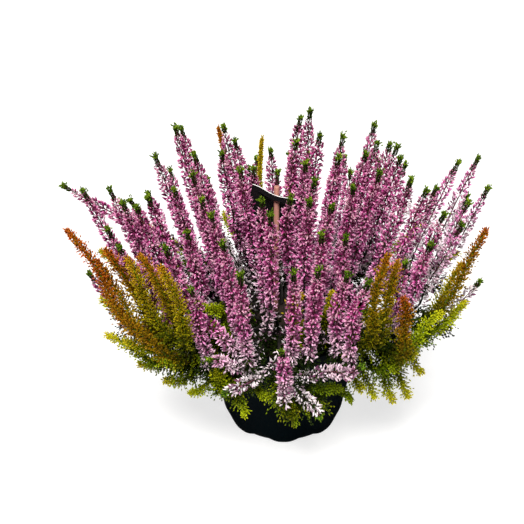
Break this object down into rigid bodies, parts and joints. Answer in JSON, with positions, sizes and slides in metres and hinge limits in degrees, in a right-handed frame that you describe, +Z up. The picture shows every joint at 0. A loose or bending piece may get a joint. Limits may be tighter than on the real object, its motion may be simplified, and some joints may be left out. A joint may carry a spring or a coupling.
{
  "type": "potted heather",
  "caption": "Potted heather: a bush of upright pink flowering spikes with golden leafy shoots at its sides, in a tapered dark plastic pot with a bare label card on a stick.",
  "frame": {"origin": "centre of the pot's flat underside, on the surface it stands on", "axes": "+Z up; -Y is the front, the side with the most golden shoots; +X is to the right when seen from the front"},
  "size_m": [0.2874, 0.2445, 0.243],
  "materials": {
    "pot_plastic": "dull dark blue-black injection-moulded nursery pot",
    "peat": "dark moist peat crumbs",
    "stick_wood": "thin pinkish brown stick",
    "card": "bare black back of a thin plastic card",
    "flowers": "small pink to white bud flowers with green leafy tips on brown woody stems",
    "golden_leaves": "scale leaves, green at the base, gold to orange towards the tips"
  },
  "bodies": {
    "root": {"pot": "pot_plastic", "soil": "peat", "label_stick": "stick_wood", "label_card": "card", "bloom_spray_01": "flowers", "bloom_spray_02": "flowers", "bloom_spray_03": "flowers", "bloom_spray_04": "flowers", "bloom_spray_05": "flowers", "bloom_spray_06": "flowers", "bloom_spray_07": "flowers", "bloom_spray_08": "flowers", "bloom_spray_09": "flowers", "bloom_spray_10": "flowers", "bloom_spray_11": "flowers", "bloom_spray_12": "flowers", "bloom_spray_13": "flowers", "bloom_spray_14": "flowers", "bloom_spray_15": "flowers", "bloom_spray_16": "flowers", "bloom_spray_17": "flowers", "bloom_spray_18": "flowers", "bloom_spray_19": "flowers", "bloom_spray_20": "flowers", "bloom_spray_21": "flowers", "bloom_spray_22": "flowers", "bloom_spray_23": "flowers", "bloom_spray_24": "flowers", "bloom_spray_25": "flowers", "bloom_spray_26": "flowers", "bloom_spray_27": "flowers", "bloom_spray_28": "flowers", "bloom_spray_29": "flowers", "bloom_spray_30": "flowers", "bloom_spray_31": "flowers", "bloom_spray_32": "flowers", "bloom_spray_33": "flowers", "bloom_spray_34": "flowers", "bloom_spray_35": "flowers", "golden_shoot_01": "golden_leaves", "golden_shoot_02": "golden_leaves", "golden_shoot_03": "golden_leaves", "golden_shoot_04": "golden_leaves", "golden_shoot_05": "golden_leaves", "golden_shoot_06": "golden_leaves", "golden_shoot_07": "golden_leaves", "golden_shoot_08": "golden_leaves", "golden_shoot_09": "golden_leaves", "golden_shoot_10": "golden_leaves", "golden_shoot_11": "golden_leaves", "golden_shoot_12": "golden_leaves", "golden_shoot_13": "golden_leaves", "golden_shoot_14": "golden_leaves", "golden_shoot_15": "golden_leaves", "golden_shoot_16": "golden_leaves", "golden_shoot_17": "golden_leaves", "golden_shoot_18": "golden_leaves", "golden_shoot_19": "golden_leaves", "golden_shoot_20": "golden_leaves", "golden_shoot_21": "golden_leaves"}
  },
  "joints": []
}
